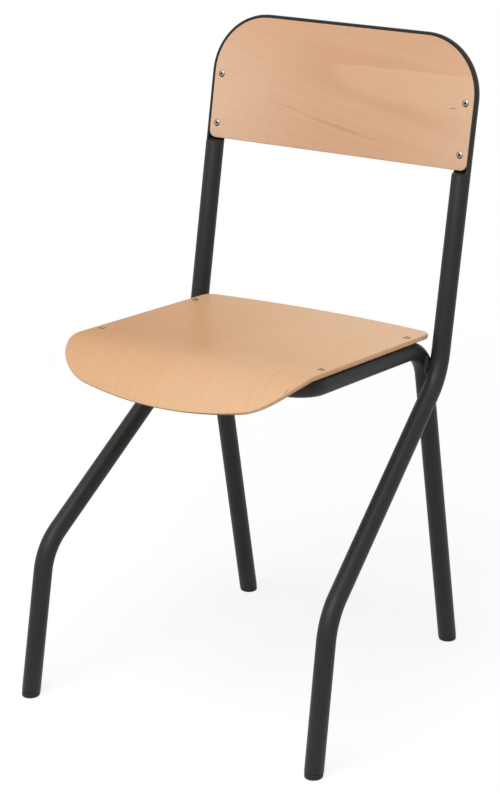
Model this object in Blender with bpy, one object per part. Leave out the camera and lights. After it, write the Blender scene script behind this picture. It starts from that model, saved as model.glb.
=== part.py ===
"""School chair: two bent steel tubes welded where they cross, a moulded plywood seat, a plywood backrest let
into the flattened top of the back tube, eight blind rivets and a plastic plug in each of the four feet.

Metres, +Z up. The chair faces -Y. Its origin is on the floor, under the middle of the four feet.
"""

import math

import bmesh
import bpy
from mathutils import Matrix, Vector

# Tube stock, and the clearance kept between pieces that touch
TUBE_DIAMETER = 0.025
TUBE_WALL = 0.0015
FIT_GAP = 0.0003

# Where the tubes' centre lines meet the floor, and the bends of the back frame, which splays out from its
# uprights down to its front feet (all on the +X side)
FEET_HALF_DEPTH = 0.2283
FRONT_LEG_SPLAY = 0.0030
DIAGONAL_SPLAY = 0.0268
FRONT_BEND_Y = -0.1904
FRONT_BEND_HEIGHT = 0.1998
FRONT_BEND_RADIUS = 0.075
BACK_BEND_Y = 0.1345
BACK_BEND_HEIGHT = 0.4197
BACK_BEND_RADIUS = 0.075
BACK_LEAN = math.radians(11.1)
BACK_HEIGHT = 0.8545
ARCH_RADIUS = 0.070

# Seat frame: rear legs and rails lie in two upright planes, inside the back frame
SEAT_FRAME_HALF_WIDTH = 0.1652
REAR_BEND_Y = 0.1349
REAR_BEND_HEIGHT = 0.4552
REAR_BEND_RADIUS = 0.055
SEAT_PITCH = math.radians(4.4)
RAIL_CORNER_RADIUS = 0.034

# Backrest: how far the tube is pressed in behind it, and what the tube shows round it
BACK_PLY = 0.007
BACK_PANEL_HEIGHT = 0.169
BACK_PANEL_CORNER = 0.010
BACK_LEDGE_DEPTH = 0.003
BACK_LIP = 0.0042
PRESS_RUNOUT = 0.009

# Seat: a flat sheet whose front edge is rolled down from a crest just behind the middle of the frame's front run
SEAT_PLY = 0.007
SEAT_SIDE_OVERHANG = 0.0108
SEAT_REAR_OVERHANG = 0.0048
SEAT_CREST_BEHIND = 0.0030
SEAT_ROLL_RADIUS = 0.090
SEAT_ROLL_ANGLE = math.radians(46.5)
SEAT_REAR_CORNER = 0.014
SEAT_FRONT_CORNER = 0.060
SEAT_REAR_BOW = 0.0155
SEAT_FRONT_BOW = 0.031
PLY_EDGE_ROUND = 0.0015

# Blind rivets: those of the seat stand clear of the rails' bends
RIVET_SHANK = 0.0048
RIVET_HEAD = 0.0088
RIVET_HEAD_HEIGHT = 0.0015
RIVET_BULB = 0.0068
RIVET_BULB_LENGTH = 0.0026
MANDREL = 0.0022
MANDREL_RECESS = 0.0007
SEAT_RIVET_TO_REAR_BEND = 0.0015
SEAT_RIVET_SPACING = 0.218
SEAT_RIVET_TO_FRONT_BEND = 0.0008
BACK_RIVET_FROM_BOTTOM = 0.020
BACK_RIVET_SPACING = 0.067
BACK_RIVET_INSET = 0.003

# Foot plugs
FOOT_HEIGHT = 0.006
FOOT_SHANK = 0.022
FOOT_EDGE_ROUND = 0.002
FOOT_COLLAR_STEP = 0.0004

# Weld beads beside each crossing
WELD_LENGTH = 0.028
WELD_WIDTH = 0.0100
WELD_OFFSET = 0.0090

# Facets
RING_BACK_POINTS = 11
RING_FRONT_POINTS = 9
BEND_STEP = math.radians(12)
TURN_STEPS = 12

TUBE_RADIUS = TUBE_DIAMETER / 2
BORE_RADIUS = TUBE_RADIUS - TUBE_WALL
BACK_FRAME_HALF_WIDTH = SEAT_FRAME_HALF_WIDTH + TUBE_DIAMETER + FIT_GAP
FRONT_BEND_HALF_WIDTH = BACK_FRAME_HALF_WIDTH + DIAGONAL_SPLAY
FRONT_FOOT_HALF_WIDTH = FRONT_BEND_HALF_WIDTH + FRONT_LEG_SPLAY
SEAT_HALF_WIDTH = SEAT_FRAME_HALF_WIDTH + SEAT_SIDE_OVERHANG
BACK_LAP = TUBE_RADIUS - BACK_LIP
BACK_PANEL_REAR = FIT_GAP - BACK_LEDGE_DEPTH
BACK_PANEL_FRONT = BACK_PANEL_REAR + BACK_PLY

UP_BACK = Vector((0, math.sin(BACK_LEAN), math.cos(BACK_LEAN)))
OUT_OF_BACK = Vector((0, -math.cos(BACK_LEAN), math.sin(BACK_LEAN)))
ALONG_RAIL = Vector((0, -math.cos(SEAT_PITCH), math.sin(SEAT_PITCH)))
OUT_OF_SEAT = Vector((0, math.sin(SEAT_PITCH), math.cos(SEAT_PITCH)))


def clear_scene():
    for obj in list(bpy.data.objects):
        bpy.data.objects.remove(obj)


def make_material(name, colour, roughness, metallic=0.0):
    material = bpy.data.materials.new(name)
    material.use_nodes = True
    shader = material.node_tree.nodes["Principled BSDF"]
    shader.inputs["Base Color"].default_value = (*colour, 1)
    shader.inputs["Roughness"].default_value = roughness
    shader.inputs["Metallic"].default_value = metallic
    return material


def add_object(name, bm, material=None):
    """Closes a bmesh into a named object in the scene, shaded smooth with its hard edges kept."""
    bm.normal_update()
    bmesh.ops.recalc_face_normals(bm, faces=bm.faces)
    mesh = bpy.data.meshes.new(name)
    bm.to_mesh(mesh)
    bm.free()
    mesh.shade_smooth()
    mesh.set_sharp_from_angle(angle=math.radians(40))
    obj = bpy.data.objects.new(name, mesh)
    bpy.context.scene.collection.objects.link(obj)
    if material:
        mesh.materials.append(material)
    return obj


def make_cutter(obj):
    obj.hide_render = True
    obj.display_type = "WIRE"
    return obj


def cut(obj, cutter):
    modifier = obj.modifiers.new("Cut " + cutter.name, "BOOLEAN")
    modifier.operation = "DIFFERENCE"
    modifier.solver = "EXACT"
    modifier.object = cutter


def mirror_across_x(obj):
    modifier = obj.modifiers.new("Mirror", "MIRROR")
    modifier.use_axis[0] = True
    modifier.use_clip = True
    modifier.merge_threshold = 0.0001


def filleted_path(corners, radii):
    """The corners joined by straight runs, each inner corner rounded by an arc of its radius."""
    path = [corners[0].copy()]
    for before, corner, after, radius in zip(corners, corners[1:], corners[2:], radii):
        to_before = (before - corner).normalized()
        to_after = (after - corner).normalized()
        turn = math.pi - to_before.angle(to_after)
        reach = radius * math.tan(turn / 2)
        start = corner + to_before * reach
        centre = corner + (to_before + to_after).normalized() * (radius / math.cos(turn / 2))
        axis = to_after.cross(to_before).normalized()
        steps = max(2, math.ceil(turn / BEND_STEP))
        for step in range(steps + 1):
            path.append(centre + Matrix.Rotation(turn * step / steps, 3, axis) @ (start - centre))
    path.append(corners[-1].copy())
    return path


def frames_along(path, front):
    """(point, outward, front) for each path point, the front direction carried along without twist."""
    frames = []
    last_tangent = (path[1] - path[0]).normalized()
    for index, point in enumerate(path):
        before = path[max(index - 1, 0)]
        after = path[min(index + 1, len(path) - 1)]
        tangent = ((point - before).normalized() + (after - point).normalized()).normalized()
        front = last_tangent.rotation_difference(tangent) @ front
        front = (front - tangent * front.dot(tangent)).normalized()
        frames.append((point, front.cross(tangent), front))
        last_tangent = tangent
    return frames


def arc_points(radius, start, end, count):
    angles = [start + (end - start) * k / (count - 1) for k in range(count)]
    return [(radius * math.cos(a), radius * math.sin(a)) for a in angles]


def span(first, last, count):
    """Points strictly between two (lateral, front) points."""
    shares = [(k + 1) / (count + 1) for k in range(count)]
    return [(first[0] + (last[0] - first[0]) * s, first[1] + (last[1] - first[1]) * s) for s in shares]


def round_ring(radius):
    """A circle with the same point order as the pressed rings: round the back first, then over the front."""
    split_in, split_out = math.radians(200), math.radians(374)
    back = arc_points(radius, split_in, split_out, RING_BACK_POINTS)
    front = arc_points(radius, split_out, split_in + math.tau, RING_FRONT_POINTS + 2)[1:-1]
    return back + front


def pressed_outer_ring():
    """Outside of the tube behind the backrest: its front pressed to a ledge, with a lip left outside it."""
    pocket = BACK_LAP + FIT_GAP
    inner_end = math.pi + math.asin(BACK_LEDGE_DEPTH / TUBE_RADIUS)
    outer_end = math.tau + math.asin(BACK_PANEL_FRONT / TUBE_RADIUS)
    back = arc_points(TUBE_RADIUS, inner_end, outer_end, RING_BACK_POINTS)
    front = [(pocket, BACK_PANEL_FRONT), (pocket, -BACK_LEDGE_DEPTH)]
    return back + front + span(front[-1], back[0], RING_FRONT_POINTS - len(front))


def pressed_bore_ring():
    """The bore that is left under the ledge."""
    inner_end = math.pi + math.asin((BACK_LEDGE_DEPTH + TUBE_WALL) / BORE_RADIUS)
    back = arc_points(BORE_RADIUS, inner_end, math.tau + math.pi - inner_end, RING_BACK_POINTS)
    return back + span(back[-1], back[0], RING_FRONT_POINTS)


def blend(ring_a, ring_b, share):
    return [(a[0] + (b[0] - a[0]) * share, a[1] + (b[1] - a[1]) * share) for a, b in zip(ring_a, ring_b)]


def loft(bm, frames, rings):
    """Skins one ring after another along the frames and returns the rows of vertices."""
    rows = []
    for (point, lateral, front), ring in zip(frames, rings):
        rows.append([bm.verts.new(point + lateral * u + front * v) for u, v in ring])
    for row, following in zip(rows, rows[1:]):
        for k in range(len(row)):
            nxt = (k + 1) % len(row)
            bm.faces.new((row[k], row[nxt], following[nxt], following[k]))
    return rows


def half_tube(name, path, front, press, material):
    """Half of a bent hollow tube, from the chair's middle plane to its foot, mirrored into a whole tube."""
    frames = frames_along(path, front)
    outer = [blend(round_ring(TUBE_RADIUS), pressed_outer_ring(), share) for share in press]
    bore = [blend(round_ring(BORE_RADIUS), pressed_bore_ring(), share) for share in press]
    bm = bmesh.new()
    outer_rows = loft(bm, frames, outer)
    bore_rows = loft(bm, frames, bore)
    outside, inside = outer_rows[-1], bore_rows[-1]
    for k in range(len(outside)):
        nxt = (k + 1) % len(outside)
        bm.faces.new((outside[k], outside[nxt], inside[nxt], inside[k]))
    tube = add_object(name, bm, material)
    mirror_across_x(tube)
    return tube


def solid_sweep(name, path, front, radius):
    """A plain round bar along a path, closed at both ends."""
    bm = bmesh.new()
    rows = loft(bm, frames_along(path, front), [round_ring(radius)] * len(path))
    bm.faces.new(rows[0])
    bm.faces.new(rows[-1])
    return add_object(name, bm)


def turned(name, profile, origin, axis, material=None):
    """Turns a closed (radius, height) profile about an axis through the origin point."""
    bm = bmesh.new()
    verts = [bm.verts.new((radius, 0, height)) for radius, height in profile]
    loop = [bm.edges.new((a, b)) for a, b in zip(verts, verts[1:])]
    if profile[0][0] > 0:
        loop.append(bm.edges.new((verts[-1], verts[0])))
    bmesh.ops.spin(
        bm,
        geom=verts + loop,
        cent=(0, 0, 0),
        axis=(0, 0, 1),
        angle=math.tau,
        steps=TURN_STEPS,
        use_merge=True,
    )
    bmesh.ops.remove_doubles(bm, verts=bm.verts, dist=1e-6)
    bm.transform(Matrix.Translation(origin) @ axis.to_track_quat("Z", "X").to_matrix().to_4x4())
    return add_object(name, bm, material)


def mirrored(point, side):
    return Vector((point.x * side, point.y, point.z))


# The frame's centre lines

FRONT_FOOT = Vector((FRONT_FOOT_HALF_WIDTH, -FEET_HALF_DEPTH, 0))
FRONT_BEND = Vector((FRONT_BEND_HALF_WIDTH, FRONT_BEND_Y, FRONT_BEND_HEIGHT))
BACK_BEND = Vector((BACK_FRAME_HALF_WIDTH, BACK_BEND_Y, BACK_BEND_HEIGHT))
ARCH_RISE = (BACK_HEIGHT - TUBE_RADIUS - BACK_BEND_HEIGHT) / math.cos(BACK_LEAN)
ARCH_CORNER = BACK_BEND + UP_BACK * ARCH_RISE
REAR_FOOT = Vector((SEAT_FRAME_HALF_WIDTH, FEET_HALF_DEPTH, 0))
REAR_BEND = Vector((SEAT_FRAME_HALF_WIDTH, REAR_BEND_Y, REAR_BEND_HEIGHT))
REAR_TURN = (REAR_BEND - REAR_FOOT).angle(ALONG_RAIL)
SEAT_RIVET_SETBACK = REAR_BEND_RADIUS * math.tan(REAR_TURN / 2) + SEAT_RIVET_TO_REAR_BEND
RAIL_LENGTH = SEAT_RIVET_SETBACK + SEAT_RIVET_SPACING + SEAT_RIVET_TO_FRONT_BEND + RAIL_CORNER_RADIUS
RAIL_CORNER = REAR_BEND + ALONG_RAIL * RAIL_LENGTH
PANEL_BOTTOM_RISE = ARCH_RISE + BACK_LAP - BACK_PANEL_HEIGHT


def above_floor(foot, knee):
    """Where a leg's tube stops, above its foot plug."""
    along = (knee - foot).normalized()
    return foot + along * (FOOT_HEIGHT / along.z)


def back_frame_path():
    """Half of the back frame from the middle of its top run, and how far it is pressed at each point."""
    middle = mirrored(ARCH_CORNER, 0)
    corners = [middle, ARCH_CORNER, BACK_BEND, FRONT_BEND, above_floor(FRONT_FOOT, FRONT_BEND)]
    path = filleted_path(corners, [ARCH_RADIUS, BACK_BEND_RADIUS, FRONT_BEND_RADIUS])
    arch_points = 2 + max(2, math.ceil(math.pi / 2 / BEND_STEP))
    press = [1.0] * arch_points
    ledge_end = BACK_BEND + UP_BACK * (PANEL_BOTTOM_RISE - FIT_GAP)
    runout_steps = 4
    runout = []
    for step in range(runout_steps + 1):
        share = step / runout_steps
        runout.append(ledge_end - UP_BACK * PRESS_RUNOUT * share)
        press.append(1 - share * share * (3 - 2 * share))
    path[arch_points:arch_points] = runout
    return path, press + [0.0] * (len(path) - len(press))


def seat_frame_path():
    """Half of the seat frame from the middle of its front run."""
    middle = mirrored(RAIL_CORNER, 0)
    corners = [middle, RAIL_CORNER, REAR_BEND, above_floor(REAR_FOOT, REAR_BEND)]
    return filleted_path(corners, [RAIL_CORNER_RADIUS, REAR_BEND_RADIUS])


def crossing_point(path_a, path_b):
    """Where two centre lines cross in side view: the middle of the gap between them, and the way midway
    between their directions, along which they part most slowly.
    """
    for a, b in zip(path_a, path_a[1:]):
        for c, d in zip(path_b, path_b[1:]):
            along_a, along_b, between = b - a, d - c, c - a
            area = along_a.y * along_b.z - along_a.z * along_b.y
            if abs(area) < 1e-12:
                continue
            on_a = (between.y * along_b.z - between.z * along_b.y) / area
            on_b = (between.y * along_a.z - between.z * along_a.y) / area
            if 0 <= on_a <= 1 and 0 <= on_b <= 1:
                point = (a + along_a * on_a + c + along_b * on_b) / 2
                return point, (along_a.normalized() + along_b.normalized()).normalized()
    raise ValueError("the rear legs don't cross the back frame in side view")


def make_frame(paint):
    back_path, press = back_frame_path()
    seat_path = seat_frame_path()
    back_tube = half_tube("back_frame_tube", back_path, OUT_OF_BACK, press, paint)
    seat_tube = half_tube("seat_frame_tube", seat_path, OUT_OF_SEAT, [0.0] * len(seat_path), paint)
    return back_tube, seat_tube, back_path, seat_path


def make_welds(back_path, seat_path, steel):
    """A bead in the groove in front of each crossing and one in the groove behind it, cut to both tubes."""
    centre, along = crossing_point(back_path, seat_path)
    across = along.cross(Vector((1, 0, 0))).normalized()
    along = Vector((1, 0, 0)).cross(across)
    for side, side_name in ((1, "right"), (-1, "left")):
        paths = [[mirrored(point, side) for point in path] for path in (back_path, seat_path)]
        keep_out = [
            make_cutter(solid_sweep(f"weld_relief_{side_name}_{k}", path, OUT_OF_BACK, TUBE_RADIUS + FIT_GAP))
            for k, path in enumerate(paths)
        ]
        for offset, place in ((1, "front"), (-1, "rear")):
            sign = offset if across.y < 0 else -offset
            bm = bmesh.new()
            bmesh.ops.create_uvsphere(bm, u_segments=12, v_segments=8, radius=0.5)
            turn = Matrix((Vector((1, 0, 0)), across, along)).transposed().to_4x4()
            spot = mirrored(centre + across * (sign * WELD_OFFSET), side)
            bm.transform(
                Matrix.Translation(spot) @ turn @ Matrix.Diagonal((WELD_WIDTH, WELD_WIDTH, WELD_LENGTH, 1))
            )
            bead = add_object(f"weld_bead_{side_name}_{place}", bm, steel)
            for cutter in keep_out:
                cut(bead, cutter)


def arch_outline():
    """The right half of the backrest's outline from its top middle down, offset from the tube's middle."""
    middle = mirrored(ARCH_CORNER, 0)
    path = filleted_path([middle, ARCH_CORNER, BACK_BEND], [ARCH_RADIUS])[:-1]
    frames = frames_along(path + [BACK_BEND], OUT_OF_BACK)[:-1]
    over = [point + lateral * BACK_LAP for point, lateral, _ in frames]
    bottom = BACK_BEND + UP_BACK * PANEL_BOTTOM_RISE
    side_x = over[-1].x
    steps = 4
    corner = []
    for step in range(steps + 1):
        turn = math.pi / 2 * step / steps
        inward = BACK_PANEL_CORNER * (1 - math.cos(turn))
        drop = BACK_PANEL_CORNER * math.sin(turn)
        spot = bottom + UP_BACK * (BACK_PANEL_CORNER - drop)
        corner.append(Vector((side_x - inward, spot.y, spot.z)))
    return over + corner


def make_backrest(wood):
    half = arch_outline()
    outline = half + [mirrored(point, -1) for point in reversed(half[1:])]
    back_face = OUT_OF_BACK * BACK_PANEL_REAR
    bm = bmesh.new()
    face = bm.faces.new([bm.verts.new(point + back_face) for point in outline])
    grown = bmesh.ops.extrude_face_region(bm, geom=[face])
    lifted = [item for item in grown["geom"] if isinstance(item, bmesh.types.BMVert)]
    bmesh.ops.translate(bm, verts=lifted, vec=OUT_OF_BACK * BACK_PLY)
    panel = add_object("backrest_panel", bm, wood)
    round_edges(panel)
    return panel


def round_edges(obj):
    bevel = obj.modifiers.new("Edge round", "BEVEL")
    bevel.width = PLY_EDGE_ROUND
    bevel.segments = 2
    bevel.limit_method = "ANGLE"
    bevel.angle_limit = math.radians(60)


SEAT_FLAT = SEAT_REAR_OVERHANG + RAIL_LENGTH - SEAT_CREST_BEHIND
SEAT_ROLL = SEAT_ROLL_RADIUS * SEAT_ROLL_ANGLE
SEAT_LENGTH = SEAT_FLAT + SEAT_ROLL
SEAT_REAR_EDGE = (
    REAR_BEND
    - ALONG_RAIL * SEAT_REAR_OVERHANG
    + OUT_OF_SEAT * (TUBE_RADIUS + FIT_GAP + SEAT_PLY)
)


def seat_half_width(run):
    """Half of the seat's width at a distance along the sheet from its rear edge, corners rounded."""
    rear = max(SEAT_REAR_CORNER - run, 0)
    front = max(run - SEAT_LENGTH + SEAT_FRONT_CORNER, 0)
    lost = SEAT_REAR_CORNER - math.sqrt(max(SEAT_REAR_CORNER**2 - rear**2, 0))
    lost += SEAT_FRONT_CORNER - math.sqrt(max(SEAT_FRONT_CORNER**2 - front**2, 0))
    return SEAT_HALF_WIDTH - lost


def on_seat(across, run):
    """A point on the seat's top: straight along the rails, then rolled down over the front edge."""
    turn = max(run - SEAT_FLAT, 0) / SEAT_ROLL_RADIUS
    flat = min(run, SEAT_FLAT)
    point = SEAT_REAR_EDGE + ALONG_RAIL * (flat + SEAT_ROLL_RADIUS * math.sin(turn))
    point -= OUT_OF_SEAT * SEAT_ROLL_RADIUS * (1 - math.cos(turn))
    return Vector((across, point.y, point.z))


def seat_stations():
    """Distances along the sheet where its outline or its bend needs a row of points."""
    corner_steps, roll_steps = 5, 8
    turns = [math.pi / 2 * k / corner_steps for k in range(corner_steps + 1)]
    rear = [SEAT_REAR_CORNER * (1 - math.cos(turn)) for turn in turns]
    roll = [SEAT_FLAT + SEAT_ROLL * k / roll_steps for k in range(roll_steps + 1)]
    front = [SEAT_LENGTH - SEAT_FRONT_CORNER * (1 - math.sin(turn)) for turn in turns]
    runs = sorted(rear + roll + front)
    least = SEAT_LENGTH / 400
    return [run for run, following in zip(runs, runs[1:]) if following - run > least] + [runs[-1]]


def make_seat(wood):
    columns = 12
    bm = bmesh.new()
    rows = []
    for run in seat_stations():
        half = seat_half_width(run)
        rear_share = max(1 - run / SEAT_FLAT, 0)
        front_share = max(run - SEAT_FLAT, 0) / SEAT_ROLL
        row = []
        for k in range(columns + 1):
            across = half * (2 * k / columns - 1)
            belly = 1 - (across / SEAT_HALF_WIDTH) ** 2
            bowed = run + belly * (SEAT_FRONT_BOW * front_share - SEAT_REAR_BOW * rear_share)
            row.append(bm.verts.new(on_seat(across, bowed)))
        rows.append(row)
    for row, following in zip(rows, rows[1:]):
        for k in range(columns):
            bm.faces.new((row[k], row[k + 1], following[k + 1], following[k]))
    seat = add_object("seat_panel", bm, wood)
    if seat.data.polygons[0].normal.z < 0:
        seat.data.flip_normals()
    sheet = seat.modifiers.new("Ply", "SOLIDIFY")
    sheet.thickness = SEAT_PLY
    sheet.offset = -1
    sheet.use_even_offset = True
    round_edges(seat)
    return seat


def rivet_profile(grip):
    """Half section of a set blind rivet, heights from the panel's face: domed head, shank and blind bulb."""
    hole = MANDREL / 2 + FIT_GAP
    shank = RIVET_SHANK / 2
    head = RIVET_HEAD / 2
    behind = -grip - FIT_GAP
    tail = behind - RIVET_BULB_LENGTH
    return [
        (hole, RIVET_HEAD_HEIGHT),
        (hole + (head - hole) * 0.45, RIVET_HEAD_HEIGHT * 0.9),
        (head, FIT_GAP + RIVET_HEAD_HEIGHT * 0.2),
        (head, FIT_GAP),
        (shank, FIT_GAP),
        (shank, behind),
        (RIVET_BULB / 2, behind - RIVET_BULB_LENGTH * 0.35),
        (shank, tail),
        (hole, tail),
    ]


def mandrel_profile(grip):
    """Half section of the stub that a set rivet keeps: broken off in the head, its knob under the bulb."""
    tail = -grip - FIT_GAP - RIVET_BULB_LENGTH
    knob = RIVET_SHANK / 2
    return [
        (0, RIVET_HEAD_HEIGHT - MANDREL_RECESS),
        (MANDREL / 2, RIVET_HEAD_HEIGHT - MANDREL_RECESS),
        (MANDREL / 2, tail - FIT_GAP),
        (knob, tail - FIT_GAP),
        (knob * 0.8, tail - FIT_GAP - RIVET_BULB_LENGTH * 0.3),
        (0, tail - FIT_GAP - RIVET_BULB_LENGTH * 0.3),
    ]


def make_rivet(name, spot, axis, grip, pieces, steel, dark_steel):
    """A blind rivet on a panel's face, its mandrel stub, and its hole through the panel and the tube."""
    turned(f"{name}_rivet", rivet_profile(grip), spot, axis, steel)
    turned(f"{name}_mandrel", mandrel_profile(grip), spot, axis, dark_steel)
    hole = RIVET_SHANK / 2 + FIT_GAP
    through = [(0, TUBE_RADIUS), (hole, TUBE_RADIUS), (hole, -grip - FIT_GAP), (0, -grip - FIT_GAP)]
    drill = make_cutter(turned(f"{name}_drill", through, spot, axis))
    for piece in pieces:
        cut(piece, drill)


def make_rivets(seat, seat_tube, backrest, back_tube, steel, dark_steel):
    rear = REAR_BEND + ALONG_RAIL * SEAT_RIVET_SETBACK
    seat_face = OUT_OF_SEAT * (TUBE_RADIUS + FIT_GAP + SEAT_PLY)
    bottom = BACK_BEND + UP_BACK * (PANEL_BOTTOM_RISE + BACK_RIVET_FROM_BOTTOM)
    bottom -= Vector((BACK_RIVET_INSET, 0, 0))
    back_face = OUT_OF_BACK * BACK_PANEL_FRONT
    bore_sag = BORE_RADIUS - math.sqrt(BORE_RADIUS**2 - (RIVET_BULB / 2) ** 2)
    for side, side_name in ((1, "right"), (-1, "left")):
        for step, place in ((0, "rear"), (1, "front")):
            spot = rear + ALONG_RAIL * SEAT_RIVET_SPACING * step + seat_face
            grip = SEAT_PLY + FIT_GAP + TUBE_WALL + bore_sag
            name = f"seat_{place}_{side_name}"
            pieces = (seat, seat_tube)
            make_rivet(name, mirrored(spot, side), OUT_OF_SEAT, grip, pieces, steel, dark_steel)
        for step, place in ((0, "lower"), (1, "upper")):
            spot = bottom + UP_BACK * BACK_RIVET_SPACING * step + back_face
            grip = BACK_PLY + FIT_GAP + TUBE_WALL
            name = f"back_{place}_{side_name}"
            pieces = (backrest, back_tube)
            make_rivet(name, mirrored(spot, side), OUT_OF_BACK, grip, pieces, steel, dark_steel)


def make_foot(name, foot, knee, plastic):
    """A plug pushed into a leg's end: shank in the bore, collar below it, sole cut level with the floor."""
    along = (knee - foot).normalized()
    tube_end = above_floor(foot, knee)
    below = 2 * FOOT_HEIGHT + TUBE_DIAMETER
    collar = TUBE_RADIUS - FOOT_COLLAR_STEP
    bore = BORE_RADIUS * math.cos(math.pi / (RING_BACK_POINTS + RING_FRONT_POINTS - 2)) - FIT_GAP
    profile = [
        (0, FOOT_SHANK),
        (bore * 0.9, FOOT_SHANK),
        (bore, FOOT_SHANK * 0.8),
        (bore, -FIT_GAP),
        (collar, -FIT_GAP),
        (collar, -below),
        (0, -below),
    ]
    plug = turned(name, profile, tube_end, along, plastic)
    bm = bmesh.new()
    bm.from_mesh(plug.data)
    whole = list(bm.verts) + list(bm.edges) + list(bm.faces)
    sliced = bmesh.ops.bisect_plane(bm, geom=whole, plane_co=(0, 0, 0), plane_no=(0, 0, -1), clear_outer=True)
    rim = [item for item in sliced["geom_cut"] if isinstance(item, bmesh.types.BMEdge)]
    bmesh.ops.contextual_create(bm, geom=rim)
    bmesh.ops.bevel(bm, geom=rim, offset=FOOT_EDGE_ROUND, segments=2, profile=0.5, affect="EDGES")
    bmesh.ops.recalc_face_normals(bm, faces=bm.faces)
    bm.to_mesh(plug.data)
    bm.free()
    plug.data.set_sharp_from_angle(angle=math.radians(40))


def main():
    clear_scene()
    paint = make_material("black powder coat", (0.038, 0.038, 0.036), 0.45)
    wood = make_material("varnished beech ply", (0.73, 0.45, 0.27), 0.38)
    steel = make_material("zinc-plated steel", (0.62, 0.62, 0.60), 0.32, 1.0)
    dark_steel = make_material("bare steel", (0.18, 0.18, 0.18), 0.5, 1.0)
    plastic = make_material("black plastic", (0.02, 0.02, 0.02), 0.55)

    back_tube, seat_tube, back_path, seat_path = make_frame(paint)
    make_welds(back_path, seat_path, paint)
    seat = make_seat(wood)
    backrest = make_backrest(wood)
    make_rivets(seat, seat_tube, backrest, back_tube, steel, dark_steel)
    for side, side_name in ((1, "right"), (-1, "left")):
        make_foot(f"foot_front_{side_name}", mirrored(FRONT_FOOT, side), mirrored(FRONT_BEND, side), plastic)
        make_foot(f"foot_rear_{side_name}", mirrored(REAR_FOOT, side), mirrored(REAR_BEND, side), plastic)


main()
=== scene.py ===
"""School chair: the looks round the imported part. Smooth bent tubes in black powder coat, a moulded beech
plywood seat and backrest with their veneers at the edges, set blind rivets, weld beads and foot plugs, on
a pale floor.

Metres, +Z up, in the part's own frame: the chair faces -Y and stands on z = 0.
"""

import math

import bmesh
import bpy
from mathutils import Matrix, Vector


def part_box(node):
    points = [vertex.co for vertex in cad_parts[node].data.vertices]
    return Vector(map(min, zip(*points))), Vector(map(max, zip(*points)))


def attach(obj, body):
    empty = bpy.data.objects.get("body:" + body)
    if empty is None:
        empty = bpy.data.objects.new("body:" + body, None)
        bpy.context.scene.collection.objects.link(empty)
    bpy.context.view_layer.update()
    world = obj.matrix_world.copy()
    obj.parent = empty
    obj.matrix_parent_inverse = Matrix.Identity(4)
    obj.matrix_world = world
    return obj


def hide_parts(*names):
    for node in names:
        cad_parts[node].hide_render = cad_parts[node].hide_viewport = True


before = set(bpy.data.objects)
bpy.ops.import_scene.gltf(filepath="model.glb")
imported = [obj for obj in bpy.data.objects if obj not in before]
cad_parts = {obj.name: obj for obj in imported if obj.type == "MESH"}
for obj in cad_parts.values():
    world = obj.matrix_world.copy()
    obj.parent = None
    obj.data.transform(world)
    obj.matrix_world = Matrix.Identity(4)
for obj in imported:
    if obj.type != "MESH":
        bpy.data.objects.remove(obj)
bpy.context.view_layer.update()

# Tubes, and the clearance kept between pieces that touch
TUBE_RADIUS = 0.0125
BORE_RADIUS = 0.011
FIT_GAP = 0.0003
RIM_BREAK = 0.0003
FEET_HALF_DEPTH = 0.2283
SEAT_FRAME_HALF_WIDTH = 0.1652
BACK_FRAME_HALF_WIDTH = SEAT_FRAME_HALF_WIDTH + 2 * TUBE_RADIUS + FIT_GAP
DIAGONAL_SPLAY = 0.0268
FRONT_LEG_SPLAY = 0.0030
FRONT_BEND_RADIUS = 0.075
BACK_BEND_RADIUS = 0.075
BACK_LEAN = math.radians(11.1)
BACK_HEIGHT = 0.8545
ARCH_RADIUS = 0.070
REAR_BEND_RADIUS = 0.055
RAIL_CORNER_RADIUS = 0.034
SEAT_PITCH = math.radians(4.4)

# Backrest, and the ledge that is pressed into the tube behind it
BACK_PLY = 0.007
BACK_PANEL_HEIGHT = 0.169
BACK_PANEL_CORNER = 0.010
BACK_EDGE_ROUND = 0.0012
BACK_LEDGE_DEPTH = 0.003
BACK_LIP = 0.0042
BACK_LAP = TUBE_RADIUS - BACK_LIP
BACK_PANEL_REAR = FIT_GAP - BACK_LEDGE_DEPTH
BACK_PANEL_FRONT = BACK_PANEL_REAR + BACK_PLY
PRESS_RUNOUT = 0.006

# Seat, rolled down at the front from a crest just behind the middle of the frame's front run
SEAT_PLY = 0.007
SEAT_SIDE_OVERHANG = 0.0108
SEAT_HALF_WIDTH = SEAT_FRAME_HALF_WIDTH + SEAT_SIDE_OVERHANG
SEAT_REAR_OVERHANG = 0.0048
SEAT_CREST_BEHIND = 0.0030
SEAT_ROLL_RADIUS = 0.090
SEAT_ROLL_ANGLE = math.radians(46.5)
SEAT_REAR_CORNER = 0.014
SEAT_FRONT_CORNER = 0.060
SEAT_REAR_BOW = 0.0155
SEAT_FRONT_BOW = 0.031
SEAT_EDGE_ROUND = 0.0020
VENEERS = 5

# Blind rivets: shank, head, bulb and mandrel are radii
RIVET_SHANK = 0.0024
RIVET_HEAD = 0.0044
RIVET_HEAD_HEIGHT = 0.0015
RIVET_BULB = 0.0034
RIVET_BULB_LENGTH = 0.0026
MANDREL = 0.0011
MANDREL_RECESS = 0.0007
MANDREL_KNOB = RIVET_BULB_LENGTH * 0.3
SEAT_RIVET_TO_REAR_BEND = 0.0015
SEAT_RIVET_SPACING = 0.218
SEAT_RIVET_TO_FRONT_BEND = 0.0008
BACK_RIVET_FROM_BOTTOM = 0.020
BACK_RIVET_SPACING = 0.067
BACK_RIVET_INSET = 0.003

# Weld seams
SEAM_LENGTH = 0.029
SEAM_RADIUS = 0.0047
SEAM_OUT = 0.0002

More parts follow.
